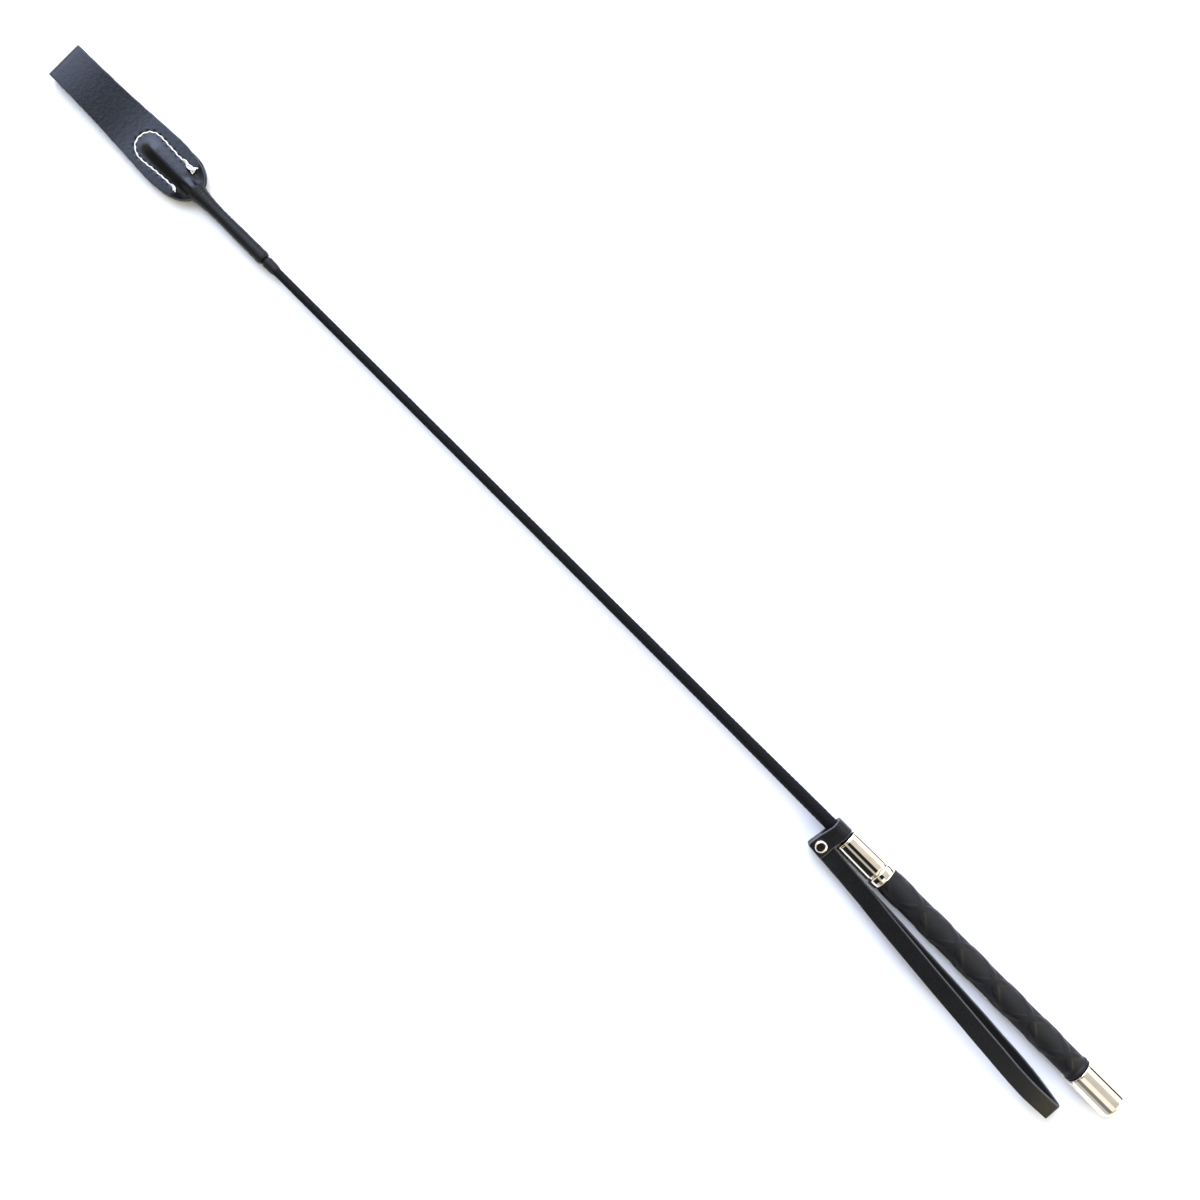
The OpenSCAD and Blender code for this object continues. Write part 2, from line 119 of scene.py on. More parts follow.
class Shape:
    """Gathers grids of points, in millimetres, and welds them into one mesh."""

    def __init__(self):
        self.points, self.faces, self.uvs, self.slots, self.marks = [], [], [], [], []
        self.count = 0

    def grid(self, p, uv, slot=0, ring=True, mark=0.0):
        """p is rows x columns x 3. A ring's last column joins its first, and its uv has one more."""
        rows, cols = p.shape[:2]
        r, c = np.meshgrid(np.arange(rows - 1), np.arange(cols if ring else cols - 1), indexing="ij")
        n = (c + 1) % cols
        quads = np.stack([r * cols + c, (r + 1) * cols + c, (r + 1) * cols + n, r * cols + n], -1)
        corners = np.stack([uv[r, c], uv[r + 1, c], uv[r + 1, c + 1], uv[r, c + 1]], 2)
        self.points.append(p.reshape(-1, 3))
        self.faces.append(self.count + quads.reshape(-1, 4))
        self.uvs.append(corners.reshape(-1, 2))
        self.slots.append(np.broadcast_to(slot, r.shape).reshape(-1))
        self.marks.append(np.broadcast_to(mark, (rows, cols)).reshape(-1))
        self.count += rows * cols

    def lid(self, outline, slot=0):
        """Closes a ring of points with a fan."""
        middle = np.broadcast_to(outline.mean(0), outline.shape)
        along = np.linspace(0, 1, len(outline) + 1)
        uv = np.stack([np.stack([along, 0 * along], -1), np.stack([along, 0 * along + 1], -1)])
        self.grid(np.stack([outline, middle]), uv, slot)

    def build(self, name, *materials):
        mesh = bpy.data.meshes.new(name)
        points = np.concatenate(self.points) * MM
        mesh.from_pydata(points.tolist(), [], np.concatenate(self.faces).tolist())
        mesh.uv_layers.new(name="flat").data.foreach_set("uv", np.concatenate(self.uvs).ravel())
        mesh.polygons.foreach_set("material_index", np.concatenate(self.slots).astype(np.int32))
        marks = np.concatenate(self.marks)
        if marks.any():
            mesh.attributes.new("mark", "FLOAT", "POINT").data.foreach_set("value", marks.astype(np.float32))
        for material in materials:
            mesh.materials.append(material)
        bm = bmesh.new()
        bm.from_mesh(mesh)
        bmesh.ops.remove_doubles(bm, verts=bm.verts, dist=2e-7)
        bmesh.ops.recalc_face_normals(bm, faces=bm.faces)
        for face in bm.faces:
            face.smooth = True
        bm.to_mesh(mesh)
        bm.free()
        obj = bpy.data.objects.new(name, mesh)
        bpy.context.scene.collection.objects.link(obj)
        return obj


def run_length(line):
    """Distance along a line to each of its points."""
    return np.concatenate([[0], np.cumsum(np.linalg.norm(np.diff(line, axis=0), axis=1))])


def directions(line):
    """A line's unit direction at each of its points."""
    tangent = np.gradient(line, axis=0)
    return tangent / np.linalg.norm(tangent, axis=1)[:, None]


def denser(line, step):
    """A 2-D line with points added where they are further apart than step."""
    out = [line[0]]
    for a, b in zip(line[:-1], line[1:]):
        n = max(1, math.ceil(np.linalg.norm(b - a) / step))
        out.extend(a + (b - a) * k / n for k in range(1, n + 1))
    return np.array(out)


def spline(points, per=8):
    """A smooth line through points (Catmull-Rom)."""
    p = np.array(points, float)
    p = np.vstack([2 * p[0] - p[1], p, 2 * p[-1] - p[-2]])
    out = []
    for i in range(1, len(p) - 2):
        a, b, c, d = p[i - 1:i + 3]
        for t in np.arange(per) / per:
            out.append(0.5 * (2 * b + (c - a) * t + (2 * a - 5 * b + 4 * c - d) * t * t
                              + (3 * b - a - 3 * c + d) * t ** 3))
    out.append(p[-2])
    return np.array(out)


def rounded(corners, radii, steps=6):
    """A closed outline of 2-D corners with each corner rounded by its own radius."""
    out = []
    corners = np.array(corners, float)
    for i, (b, radius) in enumerate(zip(corners, radii)):
        if radius == 0:
            out.append(b)
            continue
        a, c = corners[i - 1], corners[(i + 1) % len(corners)]
        u, v = (a - b) / np.linalg.norm(a - b), (c - b) / np.linalg.norm(c - b)
        half = math.acos(np.clip(u @ v, -1, 1)) / 2
        reach = radius / math.tan(half)
        middle = b + (u + v) / np.linalg.norm(u + v) * radius / math.sin(half)
        start, end = b + u * reach - middle, b + v * reach - middle
        turn = math.acos(np.clip(start @ end / radius ** 2, -1, 1))
        for t in np.arange(steps + 1) / steps:
            arc = math.sin((1 - t) * turn) * start + math.sin(t * turn) * end
            out.append(middle + arc / math.sin(turn))
    return np.array(out)


def turned(x, r, angles):
    """Points about the shaft's axis. The angle counts from the top towards +Y."""
    x, r, angles = np.broadcast_arrays(x, r, angles)
    return np.stack([x, r * np.sin(angles), r * np.cos(angles)], -1)


def around(steps):
    """Angles of a ring whose seam is underneath."""
    return -math.pi + TURN * np.arange(steps) / steps


def turned_uv(x, r, steps):
    """Flat coordinates of a ring at each x: along, and round at the true size of r."""
    angles = -math.pi + TURN * np.arange(steps + 1) / steps
    u = np.broadcast_to(x[:, None], (len(x), steps + 1))
    return np.stack([u, r[:, None] * angles[None, :]], -1)


def lathe(name, outline, *materials, steps=160, step=0.9):
    """A solid of revolution from a closed outline of (x, r)."""
    line = denser(np.vstack([outline, outline[:1]]), step)
    shape = Shape()
    p = turned(line[:, :1], line[:, 1:], around(steps)[None, :])
    shape.grid(p, turned_uv(run_length(line), np.maximum(line[:, 1], 1.0), steps))
    return shape.build(name, *materials)


def lined(shape, skin, x, r, uv_r):
    """Closes a turned skin with a plain wall inside it, from the skin's last ring back to its first."""
    steps = skin.shape[1]
    wall = turned(x[:, None], r[:, None], around(steps)[None, :])
    places = np.concatenate([x[:1], x, x[-1:]])
    shape.grid(np.concatenate([skin[-1:], wall, skin[:1]]),
               turned_uv(places, np.full(len(places), uv_r), steps))


def strip_section(half_width, half_thick, corner, crown=0.0, across=10, steps=4):
    """Closed outline of a strip: (side, height) points, and 1 for each face on a cut edge."""
    def corner_arc(side, height, start, first):
        """A quarter turn clockwise from start, in degrees, less the points before first."""
        a = np.radians(start - 90 * np.arange(first, steps + 1) / steps)
        return list(zip(side + corner * np.cos(a), height + corner * np.sin(a)))

    w, t = half_width - corner, half_thick - corner
    top = np.linspace(-w, w, across + 1)
    rise = crown * (1 - (top / half_width) ** 2)
    points = list(zip(top, half_thick + rise))
    points += corner_arc(w, t, 90, 1) + corner_arc(w, -t, 0, 0)
    points += list(zip(top[::-1][1:], (-half_thick - rise)[1:]))
    points += corner_arc(-w, -t, 270, 1) + corner_arc(-w, t, 180, 0)
    edge = ([0] * across + [1] * (2 * steps + 1)) * 2
    return np.array(points[:-1]), np.array(edge)


def strip_uv(s, side, height, apart=0.0):
    """Flat coordinates of one section of a strip. The lower face's stand apart from the upper face's."""
    side, height = np.append(side, side[0]), np.append(height, height[0])
    return np.stack([np.full(len(side), s), side + apart * (height < 0)], -1)


def drawn_in(end, radius):
    """How far a rounded end is drawn in, at a distance from that end."""
    return radius - math.sqrt(radius ** 2 - max(radius - end, 0) ** 2)


def strip(rows, uvs, slots):
    """A strip of leather from its sections, closed at both ends. Cut edges have the second material."""
    rows = np.array(rows)
    shape = Shape()
    shape.grid(rows, np.array(uvs), np.broadcast_to(slots, (len(rows) - 1, len(slots))))
    shape.lid(rows[0], 1)
    shape.lid(rows[-1], 1)
    return shape


def tube(shape, line, radius, twist=0.0, ply=0.0, sides=12):
    """A thread along a 3-D line. ply is how deep the groove between its two twisted plies is."""
    line = np.array(line, float)
    tangent = directions(line)
    side = np.cross(tangent[0], [0.0, 0.0, 1.0])
    if np.linalg.norm(side) < 1e-3:
        side = np.cross(tangent[0], [0.0, 1.0, 0.0])
    across, up = [], []
    for t in tangent:
        side = side - (side @ t) * t
        side /= np.linalg.norm(side)
        across.append(side)
        up.append(np.cross(t, side))
    length = run_length(line)
    angles = TURN * np.arange(sides) / sides
    groove = np.abs(np.sin(angles[None, :] + twist * length[:, None])) ** 3
    r = np.broadcast_to(radius, (len(line),))[:, None] * (1 - ply * groove)
    p = (line[:, None] + np.array(across)[:, None] * (r * np.cos(angles))[..., None]
         + np.array(up)[:, None] * (r * np.sin(angles))[..., None])
    round_uv = np.arange(sides + 1) / sides * TURN * 0.4
    shape.grid(p, np.stack(np.broadcast_arrays(length[:, None], round_uv[None, :]), -1))
    shape.lid(p[0])
    shape.lid(p[-1])


# -------------------------------- materials

class Look:
    """A procedural material. Its pattern coordinates are the mesh's own, in millimetres."""

    def __init__(self, name, **values):
        self.material = bpy.data.materials.new(name)
        self.material.use_nodes = True
        self.tree = self.material.node_tree
        self.tree.nodes.clear()
        self.out = self.tree.nodes.new("ShaderNodeOutputMaterial")
        self.shader = self.tree.nodes.new("ShaderNodeBsdfPrincipled")
        self.join(self.shader.outputs[0], self.out.inputs["Surface"])
        for key, value in values.items():
            self.shader.inputs[key.replace("_", " ")].default_value = value
        self.relief = None

    def node(self, kind, **settings):
        node = self.tree.nodes.new("ShaderNode" + kind)
        for key, value in settings.items():
            if hasattr(node, key):
                setattr(node, key, value)
            else:
                node.inputs[key.replace("_", " ")].default_value = value
        return node

    def join(self, out, into):
        self.tree.links.new(out, into)

    def flat(self, scale=(1, 1, 1), turn=0.0):
        """The mesh's flat coordinates, scaled and turned."""
        place = self.node("Mapping")
        place.inputs["Scale"].default_value = scale
        place.inputs["Rotation"].default_value = (0, 0, turn)
        self.join(self.node("TexCoord").outputs["UV"], place.inputs["Vector"])
        return place.outputs["Vector"]

    def solid(self, scale=(1000, 1000, 1000)):
        """The object's own coordinates in millimetres."""
        place = self.node("Mapping")
        place.inputs["Scale"].default_value = scale
        self.join(self.node("TexCoord").outputs["Object"], place.inputs["Vector"])
        return place.outputs["Vector"]

    def noise(self, where, scale, detail=3, rough=0.55, distort=0.0):
        node = self.node("TexNoise", Scale=scale, Detail=detail, Roughness=rough, Distortion=distort)
        self.join(where, node.inputs["Vector"])
        return node.outputs["Fac"]

    def cells(self, where, scale, feature="F1", random=1.0):
        node = self.node("TexVoronoi", feature=feature, Scale=scale, Randomness=random)
        self.join(where, node.inputs["Vector"])
        return node.outputs["Distance"]

    def math(self, operation, a, b=0.0):
        node = self.node("Math", operation=operation)
        for value, socket in ((a, node.inputs[0]), (b, node.inputs[1])):
            if isinstance(value, (int, float)):
                socket.default_value = value
            else:
                self.join(value, socket)
        return node.outputs[0]

    def spread(self, value, low, high, to_low=0.0, to_high=1.0):
        node = self.node("MapRange")
        for key, number in (("From Min", low), ("From Max", high), ("To Min", to_low), ("To Max", to_high)):
            node.inputs[key].default_value = number
        self.join(value, node.inputs["Value"])
        return node.outputs["Result"]

    def mix(self, share, a, b):
        """A colour between a and b."""
        node = self.node("Mix", data_type="RGBA")
        for value, socket in ((share, node.inputs[0]), (a, node.inputs[6]), (b, node.inputs[7])):
            if isinstance(value, (int, float)):
                socket.default_value = value
            elif isinstance(value, tuple):
                socket.default_value = (*value, 1)
            else:
                self.join(value, socket)
        return node.outputs[2]

    def color(self, socket):
        self.join(socket, self.shader.inputs["Base Color"])

    def roughness(self, socket):
        self.join(socket, self.shader.inputs["Roughness"])

    def bump(self, height, depth, strength=1.0):
        """Adds relief of that depth, in millimetres, over what is there already."""
        node = self.node("Bump", Strength=strength, Distance=depth * MM)
        self.join(height, node.inputs["Height"])
        if self.relief is not None:
            self.join(self.relief, node.inputs["Normal"])
        self.relief = node.outputs["Normal"]
        self.join(self.relief, self.shader.inputs["Normal"])


def leather_look(name, dark, light, rough, grain, depth, shine=0.25):
    """Smooth leather: large dull patches, a pebbled grain with finer pores, and a slow waviness."""
    look = Look(name, Roughness=rough, Specular_IOR_Level=shine, Sheen_Weight=0.01, Sheen_Roughness=0.5)
    here = look.flat()
    patches = look.noise(here, 0.12, 4)
    look.color(look.mix(look.spread(patches, 0.3, 0.7), dark, light))
    cells = look.cells(here, grain)
    pores = look.cells(here, grain * 2.3)
    look.bump(look.spread(cells, 0.0, 0.75), depth, 0.7)
    look.bump(look.spread(pores, 0.0, 0.35), depth * 0.5, 0.5)
    look.bump(look.noise(here, 0.5, 2), depth * 4, 0.5)
    look.roughness(look.spread(look.noise(here, 1.3, 4), 0.3, 0.7, rough - 0.07, rough + 0.09))
    return look


def edge_look(name, dark, light, rough):
    """A cut edge of leather: fibres along it, on a slow waviness."""
    # the faint blue specular tint is painted: it gives the edges' reflections the blue of the light
    look = Look(name, Specular_Tint=(0.9, 0.94, 1.0, 1))
    here = look.flat()
    fibres = look.noise(look.flat((0.5, 3.0, 1)), 1.5, 5, 0.7)
    look.color(look.mix(look.spread(fibres, 0.35, 0.65), dark, light))
    look.roughness(look.spread(fibres, 0.3, 0.7, rough - 0.06, rough + 0.1))
    look.bump(fibres, 0.05, 0.6)
    look.bump(look.noise(here, 0.7, 2), 0.1, 0.4)
    return look


def metal_look(name, color, rough):
    """Polished plating with faint turning marks and a haze of handling."""
    look = Look(name, Metallic=1.0)
    here = look.flat()
    marks = look.noise(look.flat((0.25, 4.0, 1)), 2.2, 3)
    haze = look.noise(here, 0.16, 4)
    tarnish = tuple(c * f for c, f in zip(color, (0.9, 0.86, 0.78)))
    look.color(look.mix(look.spread(haze, 0.5, 0.85), color, tarnish))
    both = look.math("ADD", look.math("MULTIPLY", marks, 0.5), look.math("MULTIPLY", haze, 0.5))
    look.roughness(look.spread(both, 0.3, 0.7, rough - 0.02, rough + 0.035))
    look.bump(marks, 0.004, 0.25)
    look.bump(look.noise(here, 0.5, 1), 0.01, 0.2)
    return look


def thread_look(name, dark, light, rough, along, across, depth, sheen, shine=0.5):
    """Fine fibres that run along the thread."""
    look = Look(name, Sheen_Weight=sheen, Sheen_Roughness=0.4, Specular_IOR_Level=shine)
    fibres = look.noise(look.flat((along, across, 1)), 1.0, 5, 0.65)
    look.color(look.mix(look.spread(fibres, 0.35, 0.65), dark, light))
    look.roughness(look.spread(fibres, 0.3, 0.7, rough - 0.1, rough + 0.1))
    look.bump(fibres, depth, 0.8)
    return look


def plain_look(name, dark, light, rough, stretch, scale, depth):
    """For the pieces inside: a colour that varies along a stretched grain."""
    look = Look(name)
    grain = look.noise(look.solid(tuple(1000 * s for s in stretch)), scale, 4, 0.6)
    look.color(look.mix(look.spread(grain, 0.3, 0.7), dark, light))
    look.roughness(look.spread(grain, 0.3, 0.7, rough - 0.06, rough + 0.08))
    look.bump(grain, depth, 0.5)
    return look


def grip_look():
    """Matte rubber. The raised bands, marked on the mesh, are worn smoother than the ground between."""
    look = Look("grip_rubber", Specular_IOR_Level=0.25)
    here = look.flat()
    patches = look.noise(here, 0.15, 4)
    look.color(look.mix(look.spread(patches, 0.3, 0.7), (0.0045, 0.0044, 0.0047), (0.008, 0.0078, 0.0083)))
    look.bump(look.spread(look.cells(here, 2.2), 0.0, 0.6), 0.04, 0.6)
    look.bump(look.noise(here, 0.8, 3), 0.12, 0.5)
    band = look.node("Attribute", attribute_name="mark").outputs["Fac"]
    ground = look.spread(look.noise(here, 1.1, 4), 0.3, 0.7, 0.46, 0.62)
    look.roughness(look.math("SUBTRACT", ground, look.math("MULTIPLY", band, 0.2)))
    return look


def braid_look():
    """Nylon filaments that run with the strands, which cross at a slant."""
    look = Look("braided_nylon", Sheen_Weight=0.01, Sheen_Roughness=0.35, Specular_IOR_Level=0.07)
    one, two = (look.noise(look.flat((1.2, 7.0, 1), slant), 1.6, 3, 0.6) for slant in (0.75, -0.75))
    fibres = look.math("MAXIMUM", one, two)
    look.color(look.mix(look.spread(fibres, 0.4, 0.75), (0.0033, 0.0033, 0.0035), (0.009, 0.009, 0.0095)))
    look.roughness(look.spread(fibres, 0.3, 0.7, 0.4, 0.56))
    look.bump(fibres, 0.06, 0.8)
    return look


KEEPER_FACE = leather_look(
    "keeper_leather", (0.0033, 0.0034, 0.0036), (0.006, 0.0061, 0.0066), rough=0.18, grain=1.3, depth=0.014)
KEEPER_EDGE = edge_look("keeper_cut_edge", (0.012, 0.012, 0.0135), (0.045, 0.046, 0.05), rough=0.55)
STRAP_FACE = leather_look(
    "strap_leather", (0.003, 0.003, 0.0031), (0.0055, 0.0055, 0.0057), rough=0.29, grain=1.6, depth=0.03)
STRAP_BACK = leather_look(
    "strap_inner_side", (0.003, 0.003, 0.0036), (0.0055, 0.0055, 0.006),
    rough=0.5, grain=1.2, depth=0.05, shine=0.1)
STRAP_EDGE = edge_look("strap_cut_edge", (0.03, 0.03, 0.0305), (0.07, 0.07, 0.07), rough=0.5)
COLLAR_FACE = leather_look(
    "collar_leather", (0.003, 0.003, 0.0031), (0.006, 0.006, 0.0062), rough=0.3, grain=1.8, depth=0.035)
COLLAR_EDGE = edge_look("collar_cut_edge", (0.03, 0.03, 0.031), (0.1, 0.1, 0.1), rough=0.55)
NICKEL = metal_look("nickel", (0.86, 0.785, 0.66), rough=0.055)
WHITE = thread_look(
    "white_thread", (0.66, 0.655, 0.63), (0.88, 0.875, 0.85),
    rough=0.75, along=1.5, across=6.0, depth=0.05, sheen=0.25)
BLACK = thread_look(
    "black_thread", (0.004, 0.004, 0.0046), (0.009, 0.009, 0.0105),
    rough=0.3, along=2.5, across=9.0, depth=0.03, sheen=0.01, shine=0.2)
BRAID = braid_look()
GRIP = grip_look()
GLASS_ROD = plain_look(
    "fibreglass", (0.62, 0.58, 0.40), (0.80, 0.76, 0.58),
    rough=0.35, stretch=(0.05, 2, 2), scale=1.5, depth=0.02)
WOOD = plain_look(
    "dowel_wood", (0.42, 0.25, 0.12), (0.68, 0.47, 0.27),
    rough=0.6, stretch=(0.08, 1.5, 1.5), scale=1.2, depth=0.06)
PLASTIC = plain_look(
    "black_plastic", (0.026, 0.026, 0.029), (0.036, 0.036, 0.04),
    rough=0.42, stretch=(1, 1, 1), scale=1.4, depth=0.03)


# -------------------------------- shaft

BRAID_WALL = 0.45
ROD_START, ROD_END = span("core_rod_butt")[0], span("core_rod_tip")[1]
# half the length of shaft that bends at the joint
BEND = 70


def fibreglass_rod():
    """The tapered rod, with close rings along the stretch that bends."""
    low, high = FLEX - BEND, FLEX + BEND
    x = np.concatenate([
        [ROD_START], np.linspace(ROD_START, low, 30)[:-1], np.linspace(low, high, 57)[:-1],
        np.linspace(high, ROD_END, 24), [ROD_END]])
    r = braid_r(x) - BRAID_WALL - 0.02
    r[[0, -1]] = 0
    shape = Shape()
    shape.grid(turned(x[:, None], r[:, None], around(32)[None, :]), turned_uv(x, np.maximum(r, 1), 32))
    return shape.build("fibreglass_rod", GLASS_ROD.material)


def braided_cover():
    """Two sets of eight carriers, each strand going over two and under two, where the braid shows."""
    low, high = FERRULE_END - 0.9, TAIL_START + 3.6
    carriers, pitch, relief, steps = 8, 2.5, 0.2, 64
    start, end = span("braid_butt")[0], ROD_END - 0.1
    x = np.concatenate([
        np.linspace(start, low, 12)[:-1], np.arange(low, high, 0.3), np.linspace(high, end, 40)])
    angles = around(steps)
    turn, along = np.meshgrid(angles * carriers / TURN, x / pitch)
    a, b = turn + along, turn - along
    ia, ib = np.floor(a), np.floor(b)
    round_a = np.sqrt(np.clip(1 - (2 * (a - ia) - 1) ** 2, 0, 1))
    round_b = np.sqrt(np.clip(1 - (2 * (b - ib) - 1) ** 2, 0, 1))
    over_a = np.cos(TURN * (b - ia - 1) / 4)
    over_b = np.cos(TURN * (a - ib + 2) / 4)
    height = np.clip(np.maximum(0.5 * over_a + round_a - 1, 0.5 * over_b + round_b - 1), -0.75, 0.5)
    # where it is hidden, the braid is plain and a little thinner
    shown = ((x > low - 0.1) & (x < high))[:, None]
    r = braid_r(x)[:, None] + np.where(shown, relief * (height - 0.5) / 1.25, -0.05)
    skin = turned(x[:, None], r, angles[None, :])
    wall_x = x[::-12]
    shape = Shape()
    shape.grid(skin, turned_uv(x, braid_r(x), steps))
    lined(shape, skin, wall_x, braid_r(wall_x) - BRAID_WALL, 1.0)
    return shape.build("braided_cover", BRAID.material)


rod = fibreglass_rod()
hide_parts("core_rod_butt", "core_rod_tip")
cover = braided_cover()
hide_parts("braid_butt", "braid_tip")
for piece in (rod, cover):
    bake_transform(piece)


# -------------------------------- whippings

# How far along its winding, and the outer radius there
NECK_LINE = np.array([
    [0, 2.75], [0.6, 3.05], [1.6, 3.3], [3.5, 3.22], [11, 3.1], [21, 2.98], [28, 2.96],
    [32.5, 3.1], [37, 3.45], [39.2, 3.75], [41.4, 4.25], [43.3, 4.62]])
TAIL_LINE = np.array([[0, 2.25], [1, 2.5], [5.2, 2.66], [6, 2.55], [6.7, 2.3]])
NECK_SHOWN = 43.2


def winding(name, low, high, line, wobble, seed):
    """A close winding of thread: one ridge for each turn, none quite as high or wide as the next."""
    pitch, groove, uneven, steps, slow_parts = 0.66, 0.24, 0.035, 64, 12
    x = np.arange(low, high + 1e-6, pitch / 8)
    angles = around(steps)
    outer = np.interp(x - low, line[:, 0], line[:, 1])
    draws = np.random.default_rng(seed)
    count = int((high - low) / pitch) + 4
    lift, shift = draws.normal(0, 1, count), draws.normal(0, 1, count)
    turns = (x[:, None] - low) / pitch + angles[None, :] / TURN + 1
    k = np.floor(turns).astype(int)
    f = turns - k
    f = np.clip(f + 0.2 * shift[k] * f * (1 - f), 0, 1)
    ridge = np.sqrt(np.clip(1 - (2 * f - 1) ** 2, 0, 1))
    slow = np.interp(x, np.linspace(low, high, slow_parts), draws.normal(0, 1, slow_parts))
    r = outer[:, None] + wobble * slow[:, None] - groove * (1 - ridge) + uneven * lift[k] * ridge
    skin = turned(x[:, None], r, angles[None, :])
    shape = Shape()
    shape.grid(skin, turned_uv(x, outer, steps))
    ends = np.array([high, low])
    lined(shape, skin, ends, braid_r(ends) - 0.1, 1.0)
    return shape.build(name, BLACK.material)


neck = winding("neck_winding", NECK_START, NECK_START + NECK_SHOWN, NECK_LINE, 0.03, 3)
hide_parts("neck_whipping")
tail = winding("tail_winding", *span("tail_whipping"), TAIL_LINE, 0.02, 5)
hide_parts("tail_whipping")
for piece in (neck, tail):
    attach(piece, "tip")


# -------------------------------- keeper

LEATHER = 1.4
KEEPER_WIDTH, FOLD_WIDTH = 23.1, 18.4
SHOULDER, SHOULDER_POWER = 22.9, 2.5
FOLD_R = 3.1
FOLD_X = TIP - FOLD_R
# height of each layer's middle: over the rod's end, and at the fold
FLAT_MID = 0.76
FOLD_MID = FOLD_R - LEATHER / 2
# the rod's ridge: how high it is, how far it reaches to the side, and how far it runs past the widest place
RIDGE_TOP, RIDGE_REACH, RIDGE_RUN = 1.94, 5.4, 3.5
# the stitching: first hole, furthest hole and half the distance between its legs
FIRST_HOLE, LAST_HOLE, SEAM_HALF = WIDE - 14.1, WIDE + 13.7, 6.75
HOLE_COUNT = 22
THREAD_R, KNOT_R, THREAD_TWIST, THREAD_PLY = 0.37, 0.36, 3.4, 0.28
# the keeper's tails under the long winding: distance from the winding's start, and radius
TAILS_LINE = np.array([
    [0, 2.3], [3, 2.75], [21, 2.5], [28, 2.5], [32.5, 2.65],
    [37, 3.0], [39.2, 3.3], [41.4, 3.75], [44, 4.05]])
TAILS_SHOWN = 42.9
# the sewer's hand: draws for the holes first, then one for each stitch
sewing = np.random.default_rng(7)


def keeper_side(x):
    """Half width of the keeper's outline."""
    t = (TIP - x) / (TIP - WIDE)
    blade = (FOLD_WIDTH + (KEEPER_WIDTH - FOLD_WIDTH) * t * t * (3 - t) / 2) / 2
    share = np.clip((WIDE - x) / SHOULDER, 0, 1)
    shoulder = KEEPER_WIDTH / 2 * (1 - share ** SHOULDER_POWER) ** (1 / SHOULDER_POWER)
    return np.where(x > WIDE, blade, shoulder)


def leg_gauge(x):
    """Half the distance between the legs of the stitching, which close in towards the neck."""
    return SEAM_HALF - smooth((WIDE + 8 - x) / 17)


def stitch_points():
    """Holes of the stitching, from the end of one leg round to the end of the other."""
    bend = LAST_HOLE - SEAM_HALF
    leg = np.linspace(FIRST_HOLE, bend, 60)
    arc = np.radians(np.linspace(-90, 90, 60)[1:-1])
    path = np.concatenate([
        np.stack([leg, -leg_gauge(leg)], -1),
        np.stack([bend + SEAM_HALF * np.cos(arc), leg_gauge(bend) * np.sin(arc)], -1),
        np.stack([leg[::-1], leg_gauge(leg[::-1])], -1)])
    # the whole seam was sewn a little off the middle
    path[:, 1] += 0.1 + 0.4 * smooth((path[:, 0] - WIDE + 10) / 16)
    length = run_length(path)
    s = np.linspace(0, length[-1], HOLE_COUNT)
    holes = np.stack([np.interp(s, length, path[:, k]) for k in (0, 1)], -1)
    return holes + sewing.normal(0, 0.09, holes.shape)


HOLES = stitch_points()


def ridge(x, y):
    """Height of the rod's ridge over the flat leather. It is higher and narrower at the neck."""
    top = RIDGE_TOP + 0.55 * smooth((WIDE - 14 - x) / 6)
    reach = RIDGE_REACH - 0.9 * smooth((WIDE - 12 - x) / 7)
    lean = np.clip(np.abs(y) / reach, 0, 1)
    return top * (1 + np.cos(np.pi * lean)) / 2 * (1 - smooth((x - WIDE - RIDGE_RUN) / 8.5))


def dents(x, y):
    """Hollows that the pulled thread presses round each hole."""
    out = np.zeros(np.broadcast(x, y).shape)
    for hx, hy in HOLES:
        out += 0.16 * np.exp(-((x - hx) ** 2 + (y - hy) ** 2) / 0.55)
    return out


def keeper_lift(x):
    """Height of a layer's middle over the plane between the two."""
    start = KEEPER_HINGE - 6
    t = np.clip((x - start) / (FOLD_X - start), 0, 1)
    return FLAT_MID + (FOLD_MID - FLAT_MID) * (0.15 * t + 0.85 * smooth(t))


def keeper_stations(sewn_end):
    """Along the strip, out on the upper layer and back on the lower: place, normal and layer, which is
    0 in the fold."""
    x = np.concatenate([np.arange(KEEPER_START - 2.4, sewn_end, 0.45), np.arange(sewn_end, FOLD_X, 1.0)])
    flat = []
    for xi in x:
        rise = keeper_lift(xi + 0.05) - keeper_lift(xi - 0.05)
        normal = np.array([-rise, 0.1])
        flat.append((np.array([xi, keeper_lift(xi)]), normal / np.linalg.norm(normal), 1))
    fold = [np.array([math.sin(b), math.cos(b)]) for b in np.radians(np.linspace(0, 180, 25))]
    below = [(at * [1, -1], normal * [1, -1], -1) for at, normal, _ in flat[::-1]]
    return flat + [(np.array([FOLD_X, 0]) + FOLD_MID * normal, normal, 0) for normal in fold] + below


